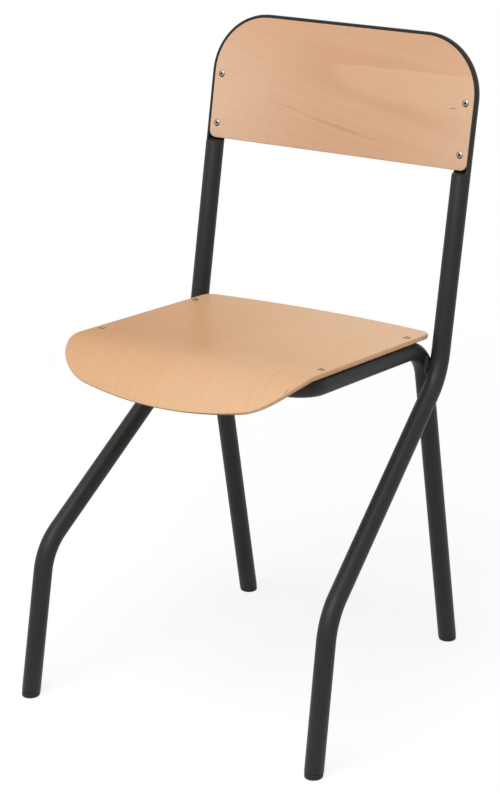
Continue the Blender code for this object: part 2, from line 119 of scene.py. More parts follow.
# Foot plugs
FOOT_HEIGHT = 0.006
FOOT_SHANK = 0.022
FOOT_BORE = 0.026
FOOT_EDGE_ROUND = 0.002
FOOT_COLLAR_STEP = 0.0004
FOOT_COLLAR = TUBE_RADIUS - FOOT_COLLAR_STEP
FOOT_COLLAR_ROUND = 0.0003

# Directions, and places on the tubes' centre lines on the +X side
UP_BACK = Vector((0, math.sin(BACK_LEAN), math.cos(BACK_LEAN)))
OUT_OF_BACK = Vector((0, -math.cos(BACK_LEAN), math.sin(BACK_LEAN)))
ALONG_RAIL = Vector((0, -math.cos(SEAT_PITCH), math.sin(SEAT_PITCH)))
OUT_OF_SEAT = Vector((0, math.sin(SEAT_PITCH), math.cos(SEAT_PITCH)))

FRONT_BEND = Vector((BACK_FRAME_HALF_WIDTH + DIAGONAL_SPLAY, -0.1904, 0.1998))
FRONT_FOOT = Vector((FRONT_BEND.x + FRONT_LEG_SPLAY, -FEET_HALF_DEPTH, 0))
BACK_BEND = Vector((BACK_FRAME_HALF_WIDTH, 0.1345, 0.4197))
ARCH_RISE = (BACK_HEIGHT - TUBE_RADIUS - BACK_BEND.z) / math.cos(BACK_LEAN)
ARCH_CORNER = BACK_BEND + UP_BACK * ARCH_RISE
PANEL_BOTTOM_RISE = ARCH_RISE + BACK_LAP - BACK_PANEL_HEIGHT
REAR_FOOT = Vector((SEAT_FRAME_HALF_WIDTH, FEET_HALF_DEPTH, 0))
REAR_BEND = Vector((SEAT_FRAME_HALF_WIDTH, 0.1349, 0.4552))
REAR_TURN = (REAR_BEND - REAR_FOOT).angle(ALONG_RAIL)
SEAT_RIVET_SETBACK = REAR_BEND_RADIUS * math.tan(REAR_TURN / 2) + SEAT_RIVET_TO_REAR_BEND
RIVETED_LENGTH = SEAT_RIVET_SETBACK + SEAT_RIVET_SPACING + SEAT_RIVET_TO_FRONT_BEND
RAIL_LENGTH = RIVETED_LENGTH + RAIL_CORNER_RADIUS
RAIL_CORNER = REAR_BEND + ALONG_RAIL * RAIL_LENGTH
SEAT_FLAT = SEAT_REAR_OVERHANG + RAIL_LENGTH - SEAT_CREST_BEHIND
SEAT_ROLL = SEAT_ROLL_RADIUS * SEAT_ROLL_ANGLE
SEAT_LENGTH = SEAT_FLAT + SEAT_ROLL
SEAT_RISE = TUBE_RADIUS + FIT_GAP + SEAT_PLY
SEAT_REAR_EDGE = REAR_BEND - ALONG_RAIL * SEAT_REAR_OVERHANG + OUT_OF_SEAT * SEAT_RISE

# Fineness of the meshes
TUBE_SIDES = 64
BEND_STEP = math.radians(3)
PRESS_STEPS = 14
BOW_CUTS = 47
ROLL_FOLDS = 44
TURNED_STEPS = 40
SEAM_SIDES = 24
SEAM_RIPPLES = 9
SEAM_STEPS = SEAM_RIPPLES * 5

# Distances within which points are one, a point is in its place, and a strip is only a sliver
SAME_POINT = 0.000002
NEAR = 0.00001
SLIVER = 0.0002

SIDES = ((1, "right"), (-1, "left"))
WHITE = (1, 1, 1, 1)


# Modelling tools


def deselect():
    """Leaves edit mode and selects nothing."""
    if bpy.context.object and bpy.context.object.mode == "EDIT":
        bpy.ops.object.mode_set(mode="OBJECT")
    bpy.ops.object.select_all(action="DESELECT")


def choose(piece):
    """Selects one piece alone and makes it the active one."""
    deselect()
    piece.select_set(True)
    bpy.context.view_layer.objects.active = piece


def open_edit():
    bpy.ops.object.mode_set(mode="EDIT")
    bpy.ops.mesh.select_all(action="SELECT")


def begin(name):
    """Names the primitive that was just added and opens it in edit mode with all of it selected."""
    piece = bpy.context.object
    piece.name = name
    piece.data.name = name
    bpy.ops.object.transform_apply(location=True, rotation=True, scale=True)
    open_edit()
    return piece


def close_edit():
    """Merges double points, turns the faces outwards and leaves edit mode."""
    bpy.ops.mesh.select_all(action="SELECT")
    bpy.ops.mesh.remove_doubles(threshold=SAME_POINT)
    bpy.ops.mesh.normals_make_consistent(inside=False)
    bpy.ops.object.mode_set(mode="OBJECT")


def pick(piece, wanted, kind="verts"):
    """Selects the vertices, edges or faces whose middle is wanted."""
    bpy.ops.mesh.select_all(action="DESELECT")
    mesh = bmesh.from_edit_mesh(piece.data)
    for item in getattr(mesh, kind):
        corners = [item] if kind == "verts" else item.verts
        if wanted(sum((corner.co for corner in corners), Vector()) / len(corners)):
            item.select_set(True)
    mesh.select_flush_mode()
    bmesh.update_edit_mesh(piece.data)


def extrude(offset):
    bpy.ops.mesh.extrude_region_move(TRANSFORM_OT_translate={"value": offset})


def resize(factors, centre):
    bpy.ops.transform.resize(value=factors, center_override=centre)


def apply_modifier(piece, name, kind, **settings):
    modifier = piece.modifiers.new(name, kind)
    for key, value in settings.items():
        setattr(modifier, key, value)
    bpy.ops.object.modifier_apply(modifier=modifier.name)


def place(piece, turn, location):
    """Turns and moves a finished piece and puts its place into its mesh."""
    piece.matrix_world = Matrix.Translation(location) @ turn.to_matrix().to_4x4()
    bpy.ops.object.transform_apply(location=True, rotation=True, scale=True)


def smooth(piece, angle=35):
    choose(piece)
    bpy.ops.object.shade_smooth_by_angle(angle=math.radians(angle))


def copy_of(piece, name):
    twin = piece.copy()
    twin.data = piece.data.copy()
    twin.name = name
    twin.data.name = name
    bpy.context.scene.collection.objects.link(twin)
    choose(twin)
    return twin


def keep_places(piece, name, measure):
    """Keeps on each point, for its finish, where it lies in the unplaced piece."""
    attribute = piece.data.attributes.new(name, "FLOAT_VECTOR", "POINT")
    for point, vertex in zip(attribute.data, piece.data.vertices):
        point.vector = measure(vertex.co)


def settle(piece, node, material):
    """Dresses a finished piece, puts it in its node's place and hangs it on the part."""
    piece.data.materials.clear()
    piece.data.materials.append(material)
    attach(piece, "root")
    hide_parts(node)


def sided(spot, side):
    """A spot of the right half carried to a side: 1 is right, -1 left and 0 the middle."""
    return Vector((spot.x * side, spot.y, spot.z))


def leg_end(foot, knee):
    """Where a leg's tube ends above the floor, and the way it goes up from there."""
    along = (knee - foot).normalized()
    return foot + along * (FOOT_HEIGHT / along.z), along


# Finishes


class Value:
    """A shader socket that takes part in Python sums. Each sum adds a Math node."""

    def __init__(self, finish, socket):
        self.finish = finish
        self.socket = socket

    def __add__(self, other):
        return self.finish.math("ADD", self, other)

    def __radd__(self, other):
        return self.finish.math("ADD", other, self)

    def __sub__(self, other):
        return self.finish.math("SUBTRACT", self, other)

    def __rsub__(self, other):
        return self.finish.math("SUBTRACT", other, self)

    def __mul__(self, other):
        return self.finish.math("MULTIPLY", self, other)

    def __rmul__(self, other):
        return self.finish.math("MULTIPLY", other, self)

    def __truediv__(self, other):
        return self.finish.math("DIVIDE", self, other)

    def __rtruediv__(self, other):
        return self.finish.math("DIVIDE", other, self)

    def __abs__(self):
        return self.finish.math("ABSOLUTE", self, 0.0)


class Finish:
    """A material, or the world, and the nodes that make it."""

    def __init__(self, owner, shader="Principled BSDF"):
        owner.use_nodes = True
        self.owner = owner
        self.tree = owner.node_tree
        self.shader = self.tree.nodes[shader]

    def add(self, kind, settings=None, inputs=None, output=0):
        """Adds a node: its settings first, then the values or links of its sockets."""
        node = self.tree.nodes.new(kind)
        for key, value in (settings or {}).items():
            setattr(node, key, value)
        self.feed(node, inputs or {})
        return Value(self, node.outputs[output])

    def feed(self, node, inputs):
        for key, value in inputs.items():
            if isinstance(value, Value):
                self.tree.links.new(value.socket, node.inputs[key])
            else:
                node.inputs[key].default_value = value

    def math(self, operation, first, second):
        return self.add("ShaderNodeMath", {"operation": operation}, {0: first, 1: second})

    def between(self, value, low, high):
        """Rises smoothly from 0 to 1 as the value goes from low to high."""
        ends = {"Value": value, "From Min": low, "From Max": high}
        return self.add("ShaderNodeMapRange", {"interpolation_type": "SMOOTHSTEP"}, ends)

    def band(self, value, low, full, falling, high):
        """1 from full to falling, and smoothly down to 0 at low and high."""
        return self.between(value, low, full) * self.between(value, high, falling)

    def point(self):
        return self.add("ShaderNodeTexCoord", output="Object")

    def kept(self, name):
        """What each point of the piece keeps under a name."""
        return self.add("ShaderNodeAttribute", {"attribute_name": name}, output="Vector")

    def placed(self, point, spot, turn):
        """The point as seen from a spot on the sheet, along a direction turned from its side."""
        inputs = {"Vector": point, "Location": (*spot, 0), "Rotation": (0, 0, turn)}
        return self.add("ShaderNodeMapping", {"vector_type": "TEXTURE"}, inputs)

    def parts(self, point):
        node = self.add("ShaderNodeSeparateXYZ", None, {"Vector": point}).socket.node
        return [Value(self, socket) for socket in node.outputs]

    def noise(self, point, scale, detail=2.0, roughness=0.5):
        inputs = {"Vector": point, "Scale": scale, "Detail": detail, "Roughness": roughness}
        return self.add("ShaderNodeTexNoise", None, inputs)

    def streaks(self, face, along, across, detail=2.0, roughness=0.5, shift=(0, 0)):
        """Noise drawn out along the grain: its scale along it and across it."""
        inputs = {"Vector": face, "Location": (*shift, 0), "Scale": (along, across, 0)}
        return self.noise(self.add("ShaderNodeMapping", None, inputs), 1.0, detail, roughness)

    def mix(self, share, first, second):
        """Goes from the first colour to the second by a share."""
        ends = [colour if isinstance(colour, Value) else (*colour, 1) for colour in (first, second)]
        inputs = {0: share, 6: ends[0], 7: ends[1]}
        return self.add("ShaderNodeMix", {"data_type": "RGBA"}, inputs, output=2)

    def bump(self, height, distance, strength):
        inputs = {"Height": height, "Distance": distance, "Strength": strength}
        return self.add("ShaderNodeBump", None, inputs)

    def surface(self, inputs):
        """Sets the sockets of the finish's own shader."""
        self.feed(self.shader, inputs)
        return self.owner

    def seen(self):
        """1 for what the camera, a reflection or glass looks at, 0 for light on its way to a surface."""
        camera, glossy, through = (
            self.add("ShaderNodeLightPath", output=f"Is {kind} Ray")
            for kind in ("Camera", "Glossy", "Transmission")
        )
        return self.math("MAXIMUM", self.math("MAXIMUM", camera, glossy), through)

    def show(self, share, shader):
        """Shows another shader by a share, and the finish's own for the rest."""
        own = Value(self, self.shader.outputs[0])
        shown = self.add("ShaderNodeMixShader", None, {0: share, 1: own, 2: shader})
        self.feed(self.tree.get_output_node("ALL"), {"Surface": shown})


def powder_coat():
    """Satin black powder coat: fine orange peel, cloudy gloss, a little dust low down on the legs."""
    finish = Finish(bpy.data.materials.new("black powder coat"))
    point = finish.point()
    peel = finish.noise(point, 620.0, 2.0, 0.6)
    flow = finish.noise(point, 150.0, 1.0)
    cloud = finish.noise(point, 9.0, 3.0, 0.6)
    speck = finish.between(finish.noise(point, 900.0, 1.0), 0.66, 0.74)
    height = finish.parts(point)[2]
    dust = finish.between(height, 0.11, 0.0) * finish.between(cloud, 0.35, 0.75) * 0.25
    black = finish.mix(cloud, (0.0125, 0.0125, 0.0120), (0.0170, 0.0170, 0.0160))
    return finish.surface(
        {
            "Base Color": finish.mix(dust + speck * 0.12, black, (0.055, 0.052, 0.047)),
            "Roughness": 0.36 + 0.10 * cloud + 0.10 * peel + 0.10 * dust,
            "Specular IOR Level": 0.22,
            "Normal": finish.bump(peel * 0.6 + flow, 0.00012, 0.8),
        }
    )


def beech(name, tip, grain, spread, boldness, finger, growth_line, bark_fleck, colours, lit_share):
    """Varnished beech plywood. The face veneer has a flame figure that opens from its tip along the grain,
    with a finger of pale wood in it, a growth line round it, a fleck of bark, hair lines and short rays. The
    inner veneers show at the edges.

    spread is how slender the flame is, and boldness how strongly it and the finger show. finger is the pale
    wood's turn, its reach, and how slender it is above and below. growth_line is where outside the flame the
    line runs and how dark it is, and bark_fleck a place and a turn. The colours are the pale wood's, the
    common one, the deep one and a paler one for painted light and sheen, and the last argument gives the
    share of that one at a place on the sheet.
    """
    finger_turn, reach, above, below = finger
    outside, darkness = growth_line
    pale, tan, deep, lit_colour = colours
    dark = [0.62 * part for part in deep]
    finish = Finish(bpy.data.materials.new(name))
    sheet = finish.kept("sheet")
    side, run, depth = finish.parts(sheet)
    face = finish.placed(sheet, tip, grain)
    along, across, _ = finish.parts(face)

    # The flame and the finger, both bent by the same slow sway and quick ripple
    sway = finish.streaks(face, 7.0, 22.0)
    ripple = finish.streaks(face, 26.0, 90.0)
    waves = 0.010 * (sway - 0.5) + 0.003 * (ripple - 0.5)
    bent = across + waves
    flame = along - spread * bent * bent
    finger_along, finger_across, _ = finish.parts(finish.placed(sheet, tip, finger_turn))
    wavy = finger_across + waves
    slender = below + (above - below) * finish.between(wavy, -0.001, 0.001)
    tapered = finger_along * reach / (abs(finger_along) + reach)
    soft = 0.006 / boldness
    inner = finish.between(tapered - finish.math("POWER", abs(wavy), 1.3) * slender, -soft, soft)

    # Wood between the growth lines, then the figure over it
    ring = finish.add("ShaderNodeCombineXYZ", None, {"X": flame * 4.0, "Y": along * 3.0})
    rings = finish.noise(ring, 1.0, 3.0, 0.55)
    cloud = finish.streaks(face, 5.0, 14.0, shift=(5, 2))
    near = 0.35 + 0.65 * finish.between(along, -0.11, -0.02)
    shade = finish.between(flame, -0.32, -0.05) * near * (1 - inner)
    # Darker above the flame: partly the veneer's figure, partly painted shade on the upper side.
    upper_figure_and_shade = finish.between(across, 0.01, 0.05) * (1 - inner)
    common = 0.40 + 0.40 * finish.between(rings, 0.30, 0.70) + 0.30 * cloud
    colour = finish.mix(common, deep, tan)
    colour = finish.mix(inner * boldness, colour, pale)
    colour = finish.mix(finish.math("MAXIMUM", shade, upper_figure_and_shade * 0.7) * boldness, colour, deep)
    # Painted light, and on the seat a painted sheen: the sheet goes over to its paler colour where it is lit
    # most.
    colour = finish.mix(lit_share(finish, side, run), colour, lit_colour)

    # Fine marks: hair lines, the growth line, the bark and the rays
    hair = finish.streaks(face, 9.0, 170.0, 3.0, 0.6)
    broken = finish.streaks(face, 16.0, 40.0, shift=(3, 7))
    line = finish.band(flame, outside - 0.11, outside - 0.02, outside - 0.01, outside + 0.03)
    line = line * finish.band(along, -0.10, -0.04, 0.03, 0.14) * finish.between(broken, 0.25, 0.55)
    bark_along, bark_across, _ = finish.parts(finish.placed(sheet, *bark_fleck))
    crumble = finish.streaks(face, 260.0, 900.0, roughness=0.6)
    ragged = abs(bark_across + 0.0011 * (crumble - 0.5))
    bark = finish.between(abs(bark_along), 0.0062, 0.0020) * finish.between(ragged, 0.0008, 0.0002)
    rays = finish.between(finish.streaks(face, 150.0, 1300.0, 1.0), 0.58, 0.70)
    colour = finish.mix(finish.between(hair, 0.45, 0.75) * 0.16, colour, deep)
    colour = finish.mix(line * darkness, colour, dark)
    colour = finish.mix(bark * 0.80, colour, (0.12, 0.062, 0.033))
    colour = finish.mix(rays * 0.14, colour, dark)

    # Inner veneers at the edges, with painted shade on their lower part, most along the seat's front
    inside = finish.band(depth, 0.0007, 0.0011, SEAT_PLY - 0.0007, SEAT_PLY - 0.0004)
    layer = finish.math("PINGPONG", depth / (SEAT_PLY / VENEERS), 1.0)
    # Painted shade: the lower veneers darken where the edge faces down, more towards the seat's front.
    bottom = finish.between(depth, 0.0047, 0.0055) * (0.45 + 0.35 * finish.between(run, 0.29, 0.33))
    # Painted shade along the seat's front edge, left off its right corner.
    front = finish.between(run, 0.330, 0.355) * finish.between(side, 0.135, 0.100)
    colour = finish.mix(inside * finish.between(layer, 0.35, 0.65) * 0.32, colour, dark)
    colour = finish.mix(inside * bottom, colour, (0.12, 0.066, 0.034))
    colour = finish.mix(inside * front * 0.75, colour, (0.13, 0.072, 0.040))

    pores = finish.streaks(face, 60.0, 900.0, 1.0)
    return finish.surface(
        {
            "Base Color": colour,
            "Roughness": 0.30 + 0.06 * hair + 0.25 * inside,
            "Specular IOR Level": 0.012,
            "Normal": finish.bump(pores * 0.6 + hair, 0.00003, 0.4),
        }
    )


def seat_painted_sheen(finish, side, run):
    """A painted sheen: palest at the rear right, deepest in the middle of the left, and paler again over the
    roll.
    """
    flat = finish.between(run, 0.34, 0.28)
    return finish.between(side * (0.4 + 0.6 * flat) + abs(run - 0.25), -0.26, 0.48)


def back_painted_light(finish, side, run):
    """Painted light: paler towards both ends, most at the lower left."""
    return finish.between(abs(side - 0.03), 0.03, 0.26) * finish.between(run, 0.20, 0.05)


def zinc(name, crown, bright, shade_colour, lit_side):
    """Zinc-plated steel, bright on the crown of a rivet's head, with painted shade at its rim and in its
    mouth.

    crown is where the bright ring starts and ends, in shares of the head's radius, and bright the plating's
    colour from worn to new. The last two give the painted shade's colour and how much of the upper right of
    the rim it leaves bright, as a painted highlight.
    """
    mouth_share, rim_share = crown
    finish = Finish(bpy.data.materials.new(name))
    point = finish.point()
    grain = finish.noise(point, 1500.0, 2.0, 0.6)
    cloud = finish.noise(point, 300.0)
    radius, _, low = finish.parts(finish.kept("section"))
    # Painted shade at the rim and mouth; the upper right of the rim is kept bright as a painted highlight.
    rim = finish.between(radius, RIVET_HEAD * rim_share, RIVET_HEAD * (rim_share + 0.2))
    rim = rim * (1 - lit_side * finish.between(low, 0.0, -0.0045))
    mouth = finish.between(radius, RIVET_HEAD * (mouth_share + 0.05), RIVET_HEAD * (mouth_share - 0.05))
    painted_shade = finish.math("MAXIMUM", rim, mouth)
    return finish.surface(
        {
            "Base Color": finish.mix(painted_shade, finish.mix(cloud, *bright), shade_colour),
            "Metallic": 1.0,
            "Roughness": 0.22 + 0.14 * cloud + 0.20 * painted_shade,
            "Normal": finish.bump(grain, 0.00003, 0.5),
        }
    )


def broken_steel():
    """The dark, torn end of a rivet's mandrel."""
    finish = Finish(bpy.data.materials.new("broken mandrel steel"))
    tear = finish.noise(finish.point(), 2600.0, 3.0, 0.7)
    return finish.surface(
        {
            "Base Color": finish.mix(tear, (0.010, 0.010, 0.010), (0.050, 0.047, 0.045)),
            "Metallic": 1.0,
            "Roughness": 0.45 + 0.2 * tear,
            "Normal": finish.bump(tear, 0.00012, 0.8),
        }
    )


def plug_plastic():
    """Moulded black plastic with a fine matt grain, scuffed grey at the sole."""
    finish = Finish(bpy.data.materials.new("black plug plastic"))
    point = finish.point()
    grain = finish.noise(point, 1800.0)
    scuff = finish.noise(point, 240.0, 3.0, 0.65)
    height = finish.parts(point)[2]
    worn = finish.between(height, 0.0022, 0.0) * finish.between(scuff, 0.42, 0.70)
    return finish.surface(
        {
            "Base Color": finish.mix(worn * 0.7, (0.012, 0.012, 0.012), (0.075, 0.072, 0.068)),
            "Roughness": 0.48 + 0.20 * worn,
            "Specular IOR Level": 0.25,
            "Normal": finish.bump(grain, 0.00004, 0.6),
        }
    )


# Bent tubes


def open_tube(name, end, along):
    """A tube's lower end: a bore to take the plug, a lightly broken rim, and the outer ring left selected.

    Returns the tube, the middle of that ring and the middle of the bore's far end.
    """
    deep = end + along * FOOT_BORE
    turn = along.to_track_quat("Z", "Y").to_euler()
    deselect()
    bpy.ops.mesh.primitive_circle_add(vertices=TUBE_SIDES, radius=BORE_RADIUS, location=deep, rotation=turn)
    tube = begin(name)
    extrude(end - deep)
    rim = TUBE_RADIUS - RIM_BREAK
    extrude((0, 0, 0))
    resize([rim / BORE_RADIUS] * 3, end)
    here = end + along * RIM_BREAK
    extrude(here - end)
    resize([TUBE_RADIUS / rim] * 3, here)
    return tube, here, deep


def run_and_bend(here, corner, after, radius):
    """Extrudes the tube's ring up to a bend and spins it round to the next run. Returns the bend's end."""
    before_way = (corner - here).normalized()
    after_way = (after - corner).normalized()
    turn = before_way.angle(after_way)
    reach = radius * math.tan(turn / 2)
    extrude(corner - before_way * reach - here)
    bpy.ops.mesh.spin(
        steps=math.ceil(turn / BEND_STEP),
        angle=turn,
        center=corner + (after_way - before_way).normalized() * (radius / math.cos(turn / 2)),
        axis=after_way.cross(before_way).normalized(),
    )
    return corner + after_way * reach


def close_tube(tube, deep):
    """Closes the bore behind the plug and mirrors the half tube into a whole one."""
    pick(tube, lambda spot: (spot - deep).length < BORE_RADIUS * 1.01)
    bpy.ops.mesh.edge_face_add()
    close_edit()
    across = (True, False, False)
    apply_modifier(tube, "Mirror", "MIRROR", use_axis=across, use_clip=True, merge_threshold=NEAR)
    open_edit()
    close_edit()


def seat_frame_tube():
    """Rear leg, side rail and half of the cross run under the seat's front, then the same mirrored."""
    end, along = leg_end(REAR_FOOT, REAR_BEND)
    middle = sided(RAIL_CORNER, 0)
    tube, here, deep = open_tube("seat_frame", end, along)
    here = run_and_bend(here, REAR_BEND, RAIL_CORNER, REAR_BEND_RADIUS)
    here = run_and_bend(here, RAIL_CORNER, middle, RAIL_CORNER_RADIUS)
    extrude(middle - here)
    close_tube(tube, deep)
    smooth(tube)
    return tube


def press_ring(tube, level, upright, left):
    """Presses the ring at a level: its front to the ledge, its outer part to the lip, a wall between them.

    left is the share of each point's distance that this step leaves.
    """
    ledge = upright.y + BACK_LEDGE_DEPTH
    lip = upright.y - BACK_PANEL_FRONT
    wall = upright.x + BACK_LAP + FIT_GAP
    wall_reach = 0.0007
    lip_start = wall - 0.00005

    def on_ring(spot):
        return abs(spot.z - level) < NEAR and spot.x > 0

    pick(tube, lambda spot: on_ring(spot) and abs(spot.x - wall) < wall_reach and spot.y < lip)
    resize((left, 1, 1), Vector((wall, ledge, level)))
    pick(tube, lambda spot: on_ring(spot) and spot.x < lip_start and spot.y < ledge)
    resize((1, left, 1), Vector((wall, ledge, level)))
    pick(tube, lambda spot: on_ring(spot) and spot.x >= lip_start and spot.y < lip)
    resize((1, left, 1), Vector((wall, lip, level)))
    pick(tube, on_ring)


def back_frame_tube():
    """Bent with its uprights vertical, so that the press is square to them, then leant back as a whole."""
    stand = Matrix.Rotation(BACK_LEAN, 3, "X")
    end, along = (stand @ way for way in leg_end(FRONT_FOOT, FRONT_BEND))
    knee, bend, corner = (stand @ spot for spot in (FRONT_BEND, BACK_BEND, ARCH_CORNER))
    middle = sided(corner, 0)
    tube, here, deep = open_tube("back_frame", end, along)
    here = run_and_bend(here, knee, bend, FRONT_BEND_RADIUS)
    here = run_and_bend(here, bend, corner, BACK_BEND_RADIUS)

    level = bend.z + PANEL_BOTTOM_RISE - FIT_GAP - PRESS_RUNOUT
    extrude((0, 0, level - here.z))
    pressed = 0.0
    for step in range(1, PRESS_STEPS + 1):
        share = step / PRESS_STEPS
        share = share * share * (3 - 2 * share)
        extrude((0, 0, PRESS_RUNOUT / PRESS_STEPS))
        level += PRESS_RUNOUT / PRESS_STEPS
        press_ring(tube, level, bend, (1 - share) / (1 - pressed))
        pressed = share
    here = run_and_bend(Vector((corner.x, corner.y, level)), corner, middle, ARCH_RADIUS)
    extrude(middle - here)
    close_tube(tube, deep)
    place(tube, stand.inverted().to_quaternion(), Vector())
    smooth(tube, angle=48)
    return tube


# Weld beads


def weld_bead(name, centre, along):
    """A bead laid in ripples: a ring drawn out step by step, swelling and closing in with each ripple."""
    tip = 0.12
    deselect()
    bpy.ops.mesh.primitive_circle_add(
        vertices=SEAM_SIDES,
        radius=SEAM_RADIUS * tip,
        fill_type="NGON",
        location=centre - along * (SEAM_LENGTH / 2),
        rotation=along.to_track_quat("Z", "X").to_euler(),
    )
    bead = begin(name)
    last = tip
    for step in range(1, SEAM_STEPS + 1):
        share = step / SEAM_STEPS
        belly = math.sqrt(max(1 - (2 * share - 1) ** 2, 0))
        ripple = 0.06 * abs(math.sin(math.pi * share * SEAM_RIPPLES))
        drift = 0.035 * math.sin(15 * share)
        size = max(belly * (0.92 + ripple + drift), tip)
        extrude(along * (SEAM_LENGTH / SEAM_STEPS))
        resize([size / last] * 3, centre + along * (SEAM_LENGTH * (share - 0.5)))
        last = size
    close_edit()
    smooth(bead, angle=60)
    return bead


# Plywood


def corner_round(piece, corner, radius, segments):
    pick(piece, lambda spot: (spot - corner).length < NEAR)
    bpy.ops.mesh.bevel(affect="VERTICES", offset=radius, offset_type="OFFSET", segments=segments)


def bow_edge(piece, edge_y, bow):
    """Splits a straight edge finely and pulls its middle out into a shallow bow."""
    pick(piece, lambda spot: abs(spot.y - edge_y) < NEAR and abs(spot.x) < SEAT_HALF_WIDTH / 2, "edges")
    bpy.ops.mesh.subdivide(number_cuts=BOW_CUTS)
    pick(piece, lambda spot: abs(spot.y - edge_y) < NEAR and abs(spot.x) < NEAR)
    bpy.ops.transform.translate(
        value=(0, bow, 0),
        use_proportional_edit=True,
        proportional_edit_falloff="INVERSE_SQUARE",
        proportional_size=SEAT_HALF_WIDTH,
    )


def thicken(sheet, ply, edge_round, **settings):
    """Gives a flat sheet its thickness downwards and rounds its edges."""
    bpy.ops.mesh.select_all(action="SELECT")
    extrude((0, 0, -ply))
    close_edit()
    square = math.radians(60)
    settings.update(width=edge_round, limit_method="ANGLE", angle_limit=square)
    apply_modifier(sheet, "Edge", "BEVEL", **settings)


def seat_panel():
    """Cut flat, bowed at both ends, its edges rounded, then rolled down at the front strip by strip."""
    deselect()
    bpy.ops.mesh.primitive_plane_add(size=1, location=(0, -SEAT_LENGTH / 2, 0))
    bpy.context.object.scale = (2 * SEAT_HALF_WIDTH, SEAT_LENGTH, 1)
    seat = begin("seat")
    for side, _ in SIDES:
        corner_round(seat, Vector((side * SEAT_HALF_WIDTH, 0, 0)), SEAT_REAR_CORNER, segments=10)
        corner_round(seat, Vector((side * SEAT_HALF_WIDTH, -SEAT_LENGTH, 0)), SEAT_FRONT_CORNER, segments=24)
    bow_edge(seat, 0, SEAT_REAR_BOW)
    bow_edge(seat, -SEAT_LENGTH, -SEAT_FRONT_BOW)
    thicken(seat, SEAT_PLY, SEAT_EDGE_ROUND, segments=6, use_clamp_overlap=False)

    bpy.ops.object.mode_set(mode="EDIT")
    strip = (SEAT_ROLL + SEAT_FRONT_BOW) / ROLL_FOLDS
    folds = [-(SEAT_FLAT + strip * (fold + 0.5)) for fold in range(ROLL_FOLDS)]
    for line in folds + [-SEAT_FLAT * share for share in (0.2, 0.4, 0.6, 0.8)]:
        bpy.ops.mesh.select_all(action="SELECT")
        bpy.ops.mesh.bisect(plane_co=(0, line, 0), plane_no=(0, 1, 0))
    bpy.ops.mesh.select_all(action="SELECT")
    bpy.ops.mesh.remove_doubles(threshold=SLIVER)
    for line in reversed(folds):
        pick(seat, lambda spot: spot.y < line - NEAR)
        turn = -strip / SEAT_ROLL_RADIUS
        bpy.ops.transform.rotate(value=turn, orient_axis="X", center_override=(0, line, 0))
    close_edit()

    def in_sheet(spot):
        if spot.y > -SEAT_FLAT:
            return spot.x, -spot.y, -spot.z
        ahead, below = -SEAT_FLAT - spot.y, spot.z + SEAT_ROLL_RADIUS
        run = SEAT_FLAT + SEAT_ROLL_RADIUS * math.atan2(ahead, below)
        return spot.x, run, SEAT_ROLL_RADIUS - math.hypot(ahead, below)

    keep_places(seat, "sheet", in_sheet)
    place(seat, Matrix.Rotation(-SEAT_PITCH, 3, "X").to_quaternion(), sided(SEAT_REAR_EDGE, 0))
    smooth(seat)
    apply_modifier(seat, "Normals", "WEIGHTED_NORMAL", mode="FACE_AREA", keep_sharp=True)
    return seat


def backrest_panel():
    """A flat sheet with wide top corners that follow the arch, made lying down, then stood in the ledge."""
    half = BACK_FRAME_HALF_WIDTH + BACK_LAP
    deselect()
    bpy.ops.mesh.primitive_plane_add(size=1, location=(0, BACK_PANEL_HEIGHT / 2, 0))
    bpy.context.object.scale = (2 * half, BACK_PANEL_HEIGHT, 1)
    panel = begin("backrest")
    for side, _ in SIDES:
        corner_round(panel, Vector((side * half, BACK_PANEL_HEIGHT, 0)), ARCH_RADIUS + BACK_LAP, segments=32)
        corner_round(panel, Vector((side * half, 0, 0)), BACK_PANEL_CORNER, segments=10)
    thicken(panel, BACK_PLY, BACK_EDGE_ROUND, segments=3)
    keep_places(panel, "sheet", lambda spot: (spot.x, spot.y, -spot.z))
    bottom = BACK_BEND + UP_BACK * PANEL_BOTTOM_RISE + OUT_OF_BACK * BACK_PANEL_FRONT
    place(panel, Matrix.Rotation(math.pi / 2 - BACK_LEAN, 3, "X").to_quaternion(), sided(bottom, 0))
    smooth(panel)
    return panel


# Turned pieces


def turned(name, profile):
    """Draws a (radius, height) profile by extruding one point along it, and spins it round Z."""
    deselect()
    radius, height = profile[0]
    bpy.ops.mesh.primitive_plane_add(size=0.001, location=(radius, 0, height))
    piece = begin(name)
    bpy.ops.mesh.merge(type="CENTER")
    for (radius, height), (next_radius, next_height) in zip(profile, profile[1:]):
        extrude((next_radius - radius, 0, next_height - height))
    bpy.ops.mesh.select_all(action="SELECT")
    bpy.ops.mesh.spin(steps=TURNED_STEPS, angle=math.tau, center=(0, 0, 0), axis=(0, 0, 1))
    close_edit()
    # Its third number, y less x, tells the rivets' painted shade from their painted highlight across the
    # head.
    keep_places(piece, "section", lambda spot: (math.hypot(spot.x, spot.y), spot.z, spot.y - spot.x))
    return piece


